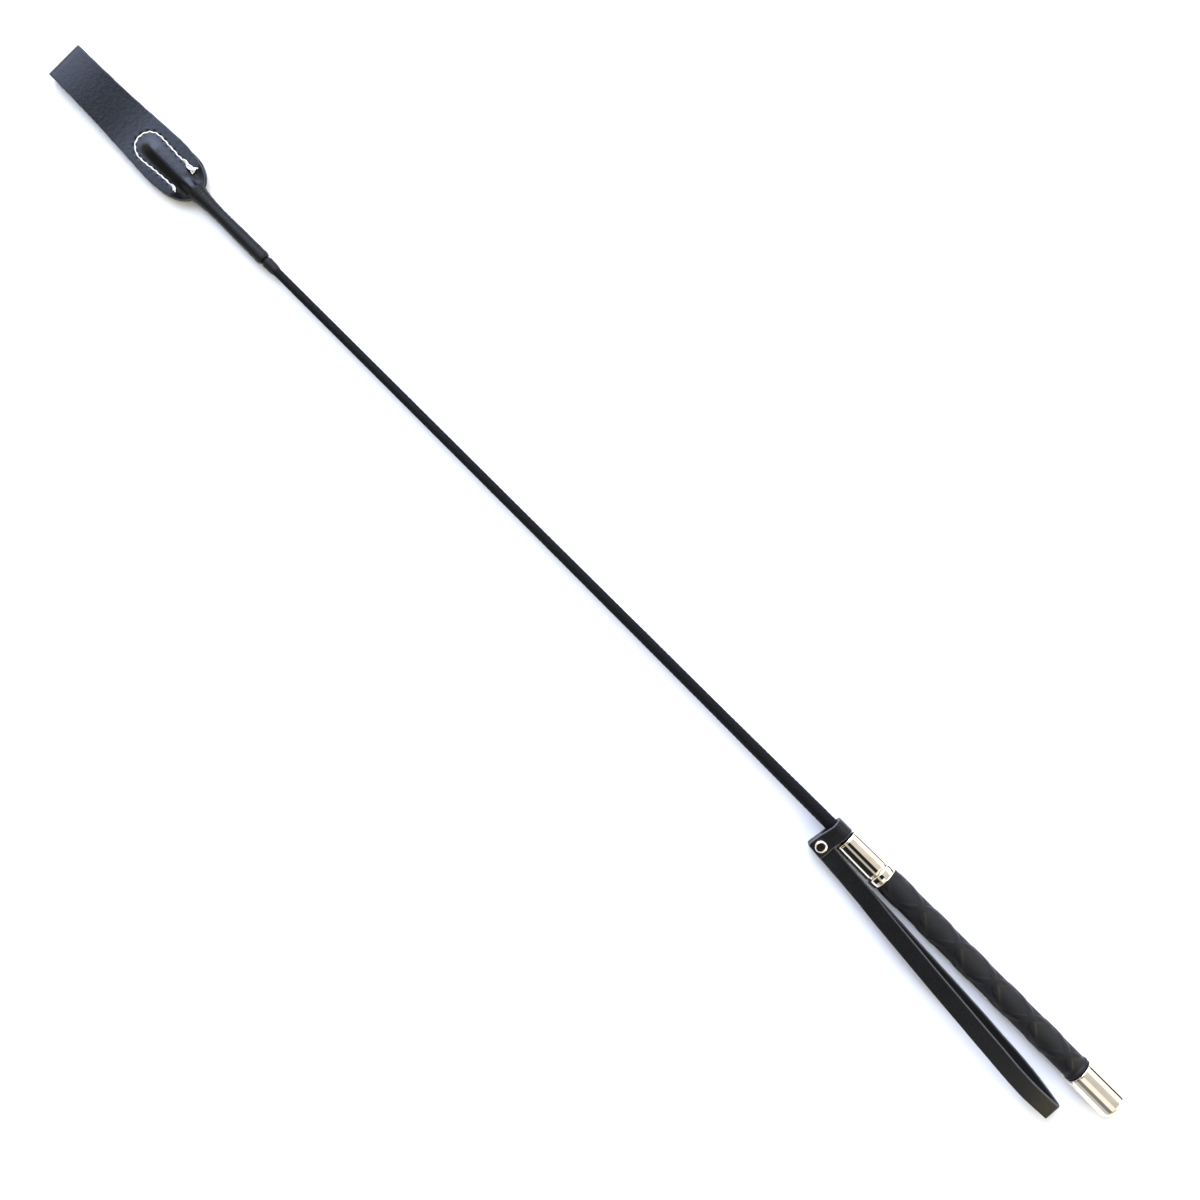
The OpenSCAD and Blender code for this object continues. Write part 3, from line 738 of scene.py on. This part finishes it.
def keeper_leather():
    """The folded strip, pressed over the rod's end and dented by its stitches, and its tails."""
    sewn_end = WIDE + 18
    rim = 0.38
    section, edge = strip_section(1.0, LEATHER / 2, rim, across=60)
    side, height = section.T
    inside = np.abs(side) <= 1.0 - rim + 1e-9
    draws = np.random.default_rng(11)
    wave_x = np.linspace(WIDE - 28, TIP + 1, 40)
    left_wave, right_wave = (draws.normal(0, 0.07, 40) for _ in range(2))
    rows, uvs, s, last = [], [], 0.0, None
    for at, normal, layer in keeper_stations(sewn_end):
        half = float(keeper_side(min(at[0], TIP)))
        # the lower layer was cut a little wider, and shows along the far side by the neck
        more = 0.75 * smooth((WIDE - 6 - at[0]) / 9) * (layer < 0)
        left = half + more + np.interp(at[0], wave_x, left_wave)
        right = half + more * 0.3 + np.interp(at[0], wave_x, right_wave)
        inner = np.where(side < 0, left, right) - rim
        y = np.where(inside, side / (1 - rim) * inner, np.sign(side) * (np.abs(side) - (1 - rim) + inner))
        point = np.stack([at[0] + normal[0] * height, y, at[1] + normal[1] * height], -1)
        if layer and at[0] < sewn_end:
            rise = ridge(at[0], y) - dents(at[0], y) * (height > 0)
            droop = 0.5 * smooth((WIDE - 14 - at[0]) / 7) * smooth((np.abs(y) - 4) / 4)
            point[:, 2] += layer * (rise - droop)
        if last is not None:
            s += float(np.linalg.norm(at - last))
        last = at
        rows.append(point)
        uvs.append(strip_uv(s, y, height, 40))
    shape = strip(rows, uvs, edge)
    line = denser(TAILS_LINE, 1.0)
    line = line[line[:, 0] < TAILS_SHOWN]
    x, r = NECK_START + line[:, 0], line[:, 1] - 0.12
    skin = turned(x[:, None], r[:, None], around(40)[None, :])
    shape.grid(skin, turned_uv(x, np.full(len(x), 3.0), 40))
    lined(shape, skin, x[::-1], braid_r(x[::-1]) + 0.02, 3.0)
    return shape.build("keeper_strip", KEEPER_FACE.material, KEEPER_EDGE.material)


keeper = keeper_leather()
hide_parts("keeper_base", "keeper_tongue")
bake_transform(keeper)


def stitching():
    """Saddle stitches of two-ply thread on both faces, each diving into its holes."""
    shape = Shape()
    t = np.linspace(0, 1, 17)
    swell = np.sin(np.pi * t.clip(0.001, 0.999))
    for face in (1, -1):
        for a, b in zip(HOLES[:-1], HOLES[1:]):
            run = a + (b - a) * t[:, None]
            z = LEATHER + ridge(run[:, 0], run[:, 1]) - 0.1 + 0.34 * swell ** 0.45
            side = np.array([-(b - a)[1], (b - a)[0]]) / np.linalg.norm(b - a)
            slant = 0.13 * np.sin(TURN * t)[:, None] * side
            radius = THREAD_R * (0.62 + 0.38 * np.sin(np.pi * t).clip(0) ** 0.6) * sewing.uniform(0.94, 1.05)
            tube(shape, np.column_stack([run + slant, face * z]), radius, THREAD_TWIST * face, THREAD_PLY)
    # the thread between the two faces
    for hx, hy in HOLES:
        tube(shape, [(hx, hy, z) for z in (-1.35, -0.6, 0, 0.6, 1.35)], 0.3, sides=8)
    return shape.build("keeper_thread", WHITE.material)


def tie_offs():
    """The two ends of the thread: one sewn back over itself and knotted, one cut short."""
    shape = Shape()

    def run(hole, offsets, per):
        """A thread through points told from a hole."""
        line = spline([(hole[0] + x, hole[1] + y, z) for x, y, z in offsets], per)
        tube(shape, line, KNOT_R, THREAD_TWIST, THREAD_PLY)

    run(HOLES[0], [
        (6.6, -0.3, 1.8), (4.6, -0.75, 2.1), (1.0, 0.45, 2.3), (-0.4, 0.9, 2.3), (-1.0, 0.1, 2.5),
        (0.6, -0.7, 2.8), (2.8, -0.4, 2.6), (3.4, 0.4, 2.3), (1.6, 0.8, 2.5), (-0.2, 0.1, 3.0),
        (-0.9, -0.7, 2.8), (-0.2, -1.0, 2.4), (0.8, -0.2, 2.3), (-0.2, -1.3, 2.2), (-1.1, -2.2, 1.95)], 9)
    run(HOLES[0], [(0.9, 0.2, 2.2), (0.1, 0.8, 2.4), (-0.7, 1.1, 2.1), (-1.2, 1.2, 1.9)], 8)
    run(HOLES[-1], [
        (2.4, -0.2, 1.9), (1.0, -0.5, 2.2), (-0.2, -0.2, 2.5), (-0.6, 0.5, 2.3), (0.1, 0.7, 2.1),
        (0.4, 0.1, 2.5), (-0.4, 0.3, 2.4), (-1.1, 0.9, 1.9)], 9)
    return shape.build("thread_knots", WHITE.material)


for piece, node in ((stitching(), "keeper_stitching"), (tie_offs(), "stitch_knots")):
    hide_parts(node)
    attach(piece, "tip")


# -------------------------------- handle

# radii of the dowel's clearance, of the insert's, and of the ferrule's lip over the braid
DOWEL_BORE, CAP_BORE, LIP_BORE = 5.02, 5.92, 3.3
LIP_WIDTH = 0.8


def butt_cap():
    """A spun cap, slightly narrower towards its mouth."""
    mouth = span("butt_cap")[1]
    end_r = span("butt_cap", 1)[1]
    mouth_r = end_r - 0.15
    floor = 1.2
    outline = rounded(
        [(0, 0), (0, end_r), (3.5, end_r), (mouth - 4, mouth_r + 0.02), (mouth, mouth_r - 0.13),
         (mouth, CAP_BORE), (floor, CAP_BORE), (floor, 0)],
        [0, 2.4, 0, 6, 0.45, 0.2, 0.3, 0], 10)
    return lathe("butt_cap_shell", outline, NICKEL.material)


def ferrule():
    """A cone with a stepped edge at the ring and a rolled lip over the braid."""
    low, high = span("front_ferrule")
    back_r, mouth_r = span("front_ferrule", 1)[1], 6.1
    lip = high - LIP_WIDTH
    outline = rounded(
        [(low, DOWEL_BORE), (low, back_r - 0.35), (low + 0.85, back_r - 0.35), (low + 0.95, back_r),
         (high - 3.6, mouth_r + 0.12), (high - 1.0, mouth_r - 0.02), (lip, mouth_r + 0.1),
         (high, mouth_r + 0.1), (high, LIP_BORE), (lip, LIP_BORE), (lip, DOWEL_BORE)],
        [0, 0.12, 0.08, 0.28, 3.0, 0.15, 0.15, 0.4, 0.2, 0, 0.1], 7)
    return lathe("front_ferrule_shell", outline, NICKEL.material)


def trim_ring():
    """A barrel-shaped ring."""
    low, high = span("ferrule_ring")
    r = span("ferrule_ring", 1)[1]
    outline = rounded(
        [(low, DOWEL_BORE), (low, r - 0.2), ((low + high) / 2, r), (high, r - 0.2), (high, DOWEL_BORE)],
        [0, 0.9, 6, 0.9, 0], 8)
    return lathe("trim_ring_band", outline, NICKEL.material)


def grip():
    """The sleeve with two helical bands each way, crossing near the top, and a rolled lip."""
    low, high = span("grip_sleeve")
    outer, lip_r, lip_round = 6.0, span("grip_sleeve", 1)[1], 1.25
    lead, crossing, meridian = 45.85, 124.6, math.radians(-15)
    half_band, relief, slant = 1.5, 0.34, math.sin(math.radians(51))
    steps, step = 120, 0.35
    lip = [(low + lip_round * (1 - math.cos(a)), lip_r - lip_round * (1 - math.sin(a)))
           for a in np.radians(np.linspace(0, 118, 16))]
    lip_end = lip[-1][0]
    body = [(x, outer) for x in np.arange(lip_end + step, high - 0.5, step)]
    rim = [(high - 0.5, outer), (high - 0.2, outer - 0.08), (high, outer - 0.35)]
    x, r = np.array(lip + body + rim).T
    angles = around(steps)
    height = np.zeros((len(x), steps))
    for way in (1, -1):
        off = angles[None, :] - meridian - way * TURN * (x[:, None] - crossing) / lead
        off = (off + math.pi / 2) % math.pi - math.pi / 2
        away = np.abs(off) * outer * slant
        height = np.maximum(height, 1 - smooth((away - half_band + 0.7) / 1.4))
    # the bands fade out before the lip and the ring
    shown = smooth((x - lip_end - 1.2) / 2.0) * smooth((high - 0.6 - x) / 1.2)
    height = height * shown[:, None]
    skin = turned(x[:, None], r[:, None] + relief * height, angles[None, :])
    shape = Shape()
    shape.grid(skin, turned_uv(x, np.full(len(x), outer), steps), mark=height)
    lined(shape, skin, np.array([high, low]), np.full(2, DOWEL_BORE), 5.0)
    return shape.build("grip_sleeve_skin", GRIP.material)


for piece, node, slot in (
        (butt_cap(), "butt_cap", "nickel"), (ferrule(), "front_ferrule", "nickel"),
        (trim_ring(), "ferrule_ring", "nickel"), (grip(), "grip_sleeve", "grip_rubber")):
    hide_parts(node)
    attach(piece, "handle")


# -------------------------------- collar and rivet

COLLAR_WIDTH, COLLAR_LEATHER, COLLAR_BORE = 8.4, 1.6, 3.25
# the flap: how far it reaches, where it begins, how high its faces are and how it leans to the tip
FLAP_END, FLAP_START, FLAP_TOP = 14.05, 7.15, 2.95
FLAP_LEAN = math.radians(8)
CAP_R, POST_R = 3.0, 1.45


def collar_path():
    """The band's middle line, as (y, z): along the upper flap, round the shaft and back along the lower."""
    middle = COLLAR_BORE + COLLAR_LEATHER / 2
    bend = (FLAP_START, FLAP_TOP - COLLAR_LEATHER / 2)
    touch = math.atan2(bend[1], bend[0]) + math.acos(middle / math.hypot(*bend))
    start = middle * np.array([math.cos(touch), math.sin(touch)])
    half = rounded([(FLAP_END, bend[1]), bend, start, start + (-0.01, 0.003)], [0, 3.2, 0, 0], 10)[:-1]
    wrap = [(middle * math.cos(a), middle * math.sin(a)) for a in np.linspace(touch, TURN - touch, 90)[1:-1]]
    path = np.vstack([half, wrap, (half * [1, -1])[::-1]])
    length = run_length(path)
    s = np.linspace(0, length[-1], math.ceil(length[-1] / 0.4) + 1)
    return np.stack([np.interp(s, length, path[:, k]) for k in (0, 1)], -1), s


def collar():
    """A band wrapped round the shaft, its two ends brought together as a flap and pressed by the rivet."""
    path, s = collar_path()
    tangent = directions(path)
    normal = np.stack([tangent[:, 1], -tangent[:, 0]], -1)
    rows, uvs = [], []
    for p, n, si in zip(path, normal, s):
        end = min(si, s[-1] - si)
        flap = smooth((p[0] - 3) / 8)
        half_w = COLLAR_WIDTH / 2 - 0.3 + 0.45 * flap - drawn_in(end, 1.1)
        thick = COLLAR_LEATHER / 2 - drawn_in(end, 0.35)
        section, edge = strip_section(half_w, thick, min(0.36, thick * 0.9), 0.03, 18)
        side, height = section.T
        out = p[0] + n[0] * height
        z = p[1] + n[1] * height
        lean = FLAP_LEAN * smooth((p[0] + 1) / 5)
        x = COLLAR_X + 0.2 * (1 - flap) + out * math.sin(lean) + side * math.cos(lean)
        y = out * math.cos(lean) - side * math.sin(lean)
        if abs(p[1]) < 3 and p[0] > 5:
            near = np.hypot(x - RIVET_X, y - RIVET_Y)
            press = 0.14 * np.exp(-((near - 3.5) / 0.45) ** 2) - 0.25 * np.exp(-(near / 2.9) ** 4)
            z = z + np.where(height > 0, press * np.sign(p[1]), 0)
        rows.append(np.stack([x, y, z], -1))
        uvs.append(strip_uv(si, side, height))
    return strip(rows, uvs, edge).build("collar_band", COLLAR_FACE.material, COLLAR_EDGE.material)


def rivet(name, side):
    """A spun cap with a rolled rim, facing up or down, with the post under the lower one."""
    high = span("rivet_cap", 2)[1] - FLAP_TOP
    post = -0.5 if side > 0 else 2 * FLAP_TOP + 0.5
    r = np.linspace(0, CAP_R - 0.12, 26)
    dome = np.stack([r, 0.34 + (high - 0.34) * (1 - (r / CAP_R) ** 8)], -1)
    rim = [(CAP_R - 0.02, 0.42), (CAP_R, 0.25), (CAP_R - 0.06, 0.08),
           (CAP_R - 0.3, -0.06), (CAP_R - 1.2, -0.1)]
    rest = [(POST_R, -0.1), (POST_R, -post), (0, -post)]
    if side < 0:
        rest[2:] = [(POST_R - 0.15, -post - 0.1), (0, -post - 0.1)]
    r, height = np.hsplit(denser(np.vstack([dome, rim, rest]), 0.5), 2)
    steps = 64
    angles = TURN * np.arange(steps) / steps
    x = RIVET_X + r * np.cos(angles)
    y = RIVET_Y + r * np.sin(angles)
    # the hammer has set the middle of the cap a little out of true
    tilt = math.tan(math.radians(-5)) * (1 - smooth((r - 1.6) / 1.2)) * (height > 0.6)
    z = side * (FLAP_TOP + height + tilt * (y - RIVET_Y))
    round_uv = np.arange(steps + 1) / steps * TURN * 2
    shape = Shape()
    shape.grid(np.stack([x, y, z], -1), np.stack(np.broadcast_arrays(r, round_uv[None, :]), -1))
    return shape.build(name, NICKEL.material)


band = collar()
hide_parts("loop_collar")
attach(band, "collar")
for piece, node in ((rivet("rivet_cap_dome", 1), "rivet_cap"), (rivet("rivet_post_dome", -1), "rivet_post")):
    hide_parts(node)
    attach(piece, "collar")


# -------------------------------- wrist strap

# distances along the strap are counted from the rivet
STRAP_WIDTH, STRAP_LEATHER, STRAP_GAP = 8.0, 1.25, 0.1
STRAP_END, STRAP_TAIL, STRAP_HINGE, STRAP_BEND = 157.0, 4.0, 9.6, 4.1
STRAP_TURN = math.radians(180 - 4)
# the loop: half its opening, sideways shift for each millimetre of height, twist of each leg, and its fold
LOOP_HALF, LOOP_SHEAR, LEG_TWIST = 5.0, 0.39, 0.06
SPREAD_START, SPREAD_LENGTH, CLOSE_LENGTH = 14, 112, 31
LOOP_END_R, LOOP_END_SLOPE = 1.1, math.radians(17)


def strap_place(along, across=0.0):
    """Where a place on the resting strap is, as (x, y)."""
    return (RIVET_X + along * math.cos(STRAP_TURN) - across * math.sin(STRAP_TURN),
            RIVET_Y + along * math.sin(STRAP_TURN) + across * math.cos(STRAP_TURN))


def strap_path():
    """Middle line of the strap as (along, up): out on the upper leg, round the fold and back."""
    closed = (STRAP_LEATHER + STRAP_GAP) / 2
    end_s = STRAP_END - LOOP_END_R * (1 - math.sin(LOOP_END_SLOPE))
    end_half = LOOP_END_R * math.cos(LOOP_END_SLOPE)
    s = np.concatenate([
        np.linspace(-STRAP_TAIL, 20, 49), np.arange(20.8, 148, 0.8), np.linspace(148, end_s, 25)])
    left = np.clip((end_s - s) / CLOSE_LENGTH, 0, 1)
    half = np.minimum(closed + (LOOP_HALF - closed) * smooth((s - SPREAD_START) / SPREAD_LENGTH),
                      end_half + (LOOP_HALF - end_half) * (1 - (1 - left) ** 2.4))
    fold = np.linspace(math.pi / 2 - LOOP_END_SLOPE, LOOP_END_SLOPE - math.pi / 2, 33)[1:-1]
    return np.vstack([
        np.stack([s, half], -1),
        np.stack([STRAP_END - LOOP_END_R * (1 - np.cos(fold)), LOOP_END_R * np.sin(fold)], -1),
        np.stack([s[::-1], -half[::-1]], -1)])


def wrist_strap():
    """One strip of leather doubled back on itself, its legs a little askew."""
    path = strap_path()
    tangent = directions(path)
    normal = np.stack([-tangent[:, 1], tangent[:, 0]], -1)
    length = run_length(path)
    draws = np.random.default_rng(21)
    waves = 30
    wave_s = np.linspace(0, length[-1], waves)
    side_wave, width_wave = draws.normal(0, 0.08, waves), draws.normal(0, 0.04, waves)
    rows, uvs = [], []
    for p, n, s in zip(path, normal, length):
        half_w = STRAP_WIDTH / 2 + np.interp(s, wave_s, width_wave) - drawn_in(min(s, length[-1] - s), 0.9)
        section, edge = strip_section(half_w, STRAP_LEATHER / 2, 0.3, across=14)
        side, height = section.T
        along = p[0] + n[0] * height
        up = p[1] + n[1] * height
        across = side + np.interp(s, wave_s, side_wave) * smooth((p[0] - 10) / 30)
        across = across - up * LOOP_SHEAR * smooth((p[0] - SPREAD_START) / 30)
        # each leg turns a little about its own length, upper face towards the outer edge
        twist = LEG_TWIST * smooth((p[0] - 5) / 12) * smooth((STRAP_END - 3 - p[0]) / 20)
        up = up + (across + p[1] * LOOP_SHEAR) * twist
        rows.append(np.stack([*strap_place(along, across), up], -1))
        uvs.append(strip_uv(s, side, height, 30))
    slots = np.where((edge == 0) & (height < 0), 2, edge)
    return strip(rows, uvs, slots).build(
        "wrist_strap", STRAP_FACE.material, STRAP_EDGE.material, STRAP_BACK.material)


strap = wrist_strap()
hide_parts("strap_ends", "strap_loop")
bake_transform(strap)


# -------------------------------- pieces inside, kept from the CAD

for node, look in (("handle_dowel", WOOD), ("ferrule_bush", PLASTIC), ("cap_insert", PLASTIC),
                   ("rod_tip_cap", PLASTIC)):
    obj = frame["nodes"][node]
    obj.data.materials.clear()
    obj.data.materials.append(look.material)


# -------------------------------- floor, light and camera

def paper_look():
    """White paper with a fine tooth."""
    look = Look("paper", Roughness=0.9)
    here = look.solid()
    look.color(look.mix(look.noise(here, 0.004, 3), (0.86, 0.86, 0.86), (0.9, 0.9, 0.9)))
    look.bump(look.noise(here, 0.8, 3), 0.03, 0.3)
    return look


def add_floor():
    """A sheet of paper that the cap and the keeper both rest on."""
    at_butt, rise, reach = -7.27, (7.2 - 3.6) / 600, 6000
    corners = [(-reach, -reach), (reach, -reach), (reach, reach), (-reach, reach)]
    mesh = bpy.data.meshes.new("floor")
    mesh.from_pydata([(x * MM, y * MM, (at_butt + rise * x) * MM) for x, y in corners], [], [(0, 1, 2, 3)])
    mesh.materials.append(paper_look().material)
    floor = bpy.data.objects.new("floor", mesh)
    bpy.context.scene.collection.objects.link(floor)


add_floor()


class Sky(Look):
    """The light all round. Its directions are told in degrees: side leans from overhead towards +Y, and
    along leans towards +X."""

    BRIGHTEST = 8

    def __init__(self):
        world = bpy.data.worlds.new("studio")
        world.use_nodes = True
        bpy.context.scene.world = world
        self.tree = world.node_tree
        self.tree.nodes.clear()
        self.shader = self.node("Background", Strength=self.BRIGHTEST)
        self.join(self.shader.outputs[0], self.node("OutputWorld").inputs["Surface"])
        axes = self.node("SeparateXYZ")
        self.join(self.node("TexCoord").outputs["Generated"], axes.inputs[0])
        x, y, z = axes.outputs
        self.side = self.math("DEGREES", self.math("ARCTAN2", y, z))
        self.along = self.math("DEGREES", self.math("ARCSINE", x))

    def light(self, rgb):
        """A colour as a share of the brightest light."""
        return tuple(value / self.BRIGHTEST for value in rgb)

    def profile(self, stops):
        """Brightness from side to side, through stops of (degrees, brightness)."""
        ramp = self.node("ValToRGB")
        points = ramp.color_ramp.elements
        for k, (side, value) in enumerate(stops):
            at = side / 180 + 0.5
            point = points[0] if k == 0 else points[-1] if k == len(stops) - 1 else points.new(at)
            point.position = at
            point.color = (*self.light((value, value, value)), 1)
        self.join(self.spread(self.side, -90, 90), ramp.inputs["Fac"])
        return ramp.outputs["Color"]

    def over(self, base, light, share, *more):
        """Puts a light over the base where all the shares are 1."""
        for other in more:
            share = self.math("MULTIPLY", share, other)
        return self.mix(share, base, self.light(light))


def add_sky():
    """Soft boxes overhead and to the -Y side with dark gaps between them, a warm room, brighter to the
    -Y side, past both ends of the crop, and a bluish window past its tip. The camera sees white."""
    sky = Sky()
    away = sky.math("ABSOLUTE", sky.along)
    middle = sky.profile([
        (-90, 0.05), (-80, 0.05), (-77, 2), (-46, 2), (-42, 0.85), (-4, 0.8), (-1, 0.02), (23, 0.02),
        (26, 0.6), (40, 0.6), (43, 0.02), (82, 0.02), (88, 0.5), (90, 0.7)])
    ends = sky.profile([
        (-90, 0.05), (-77, 0.05), (-73, 2), (-46, 2), (-41, 0.85), (-20, 0.72), (2, 0.7), (6, 1.2),
        (36, 1.2), (39, 0.25), (62, 0.25), (66, 0.66), (90, 0.7)])
    color = sky.mix(sky.spread(away, 16.5, 19.5), middle, ends)
    far = sky.spread(away, 36, 46)
    color = sky.over(color, (0.8, 0.72, 0.45), far)
    color = sky.over(color, (4.0, 3.65, 2.5), far, sky.spread(sky.side, 14, -6))
    color = sky.over(color, (6.5, 7.6, 11), sky.spread(sky.along, 21, 23.5), sky.spread(sky.side, -80, -66),
                     sky.spread(sky.side, 18, -5), sky.spread(sky.along, 62, 54))
    seen = sky.node("LightPath").outputs["Is Camera Ray"]
    sky.join(sky.over(color, (1.2, 1.2, 1.2), seen), sky.shader.inputs["Color"])


add_sky()


def add_camera():
    """Straight down from 65 cm, the crop lying across the frame's diagonal."""
    data = bpy.data.cameras.new("camera")
    data.sensor_width = 36
    data.lens = 43.8
    turn = math.radians(45 - 0.095)
    right = (-math.cos(turn), -math.sin(turn), 0)
    up = (math.sin(turn), -math.cos(turn), 0)
    camera = bpy.data.objects.new("camera", data)
    camera.rotation_mode = "QUATERNION"
    camera.rotation_quaternion = Matrix((right, up, (0, 0, 1))).transposed().to_quaternion()
    camera.location = (0.3212, 0.0019, 0.65)
    bpy.context.scene.collection.objects.link(camera)
    bpy.context.scene.camera = camera


add_camera()
bpy.context.scene.view_settings.view_transform = "Standard"
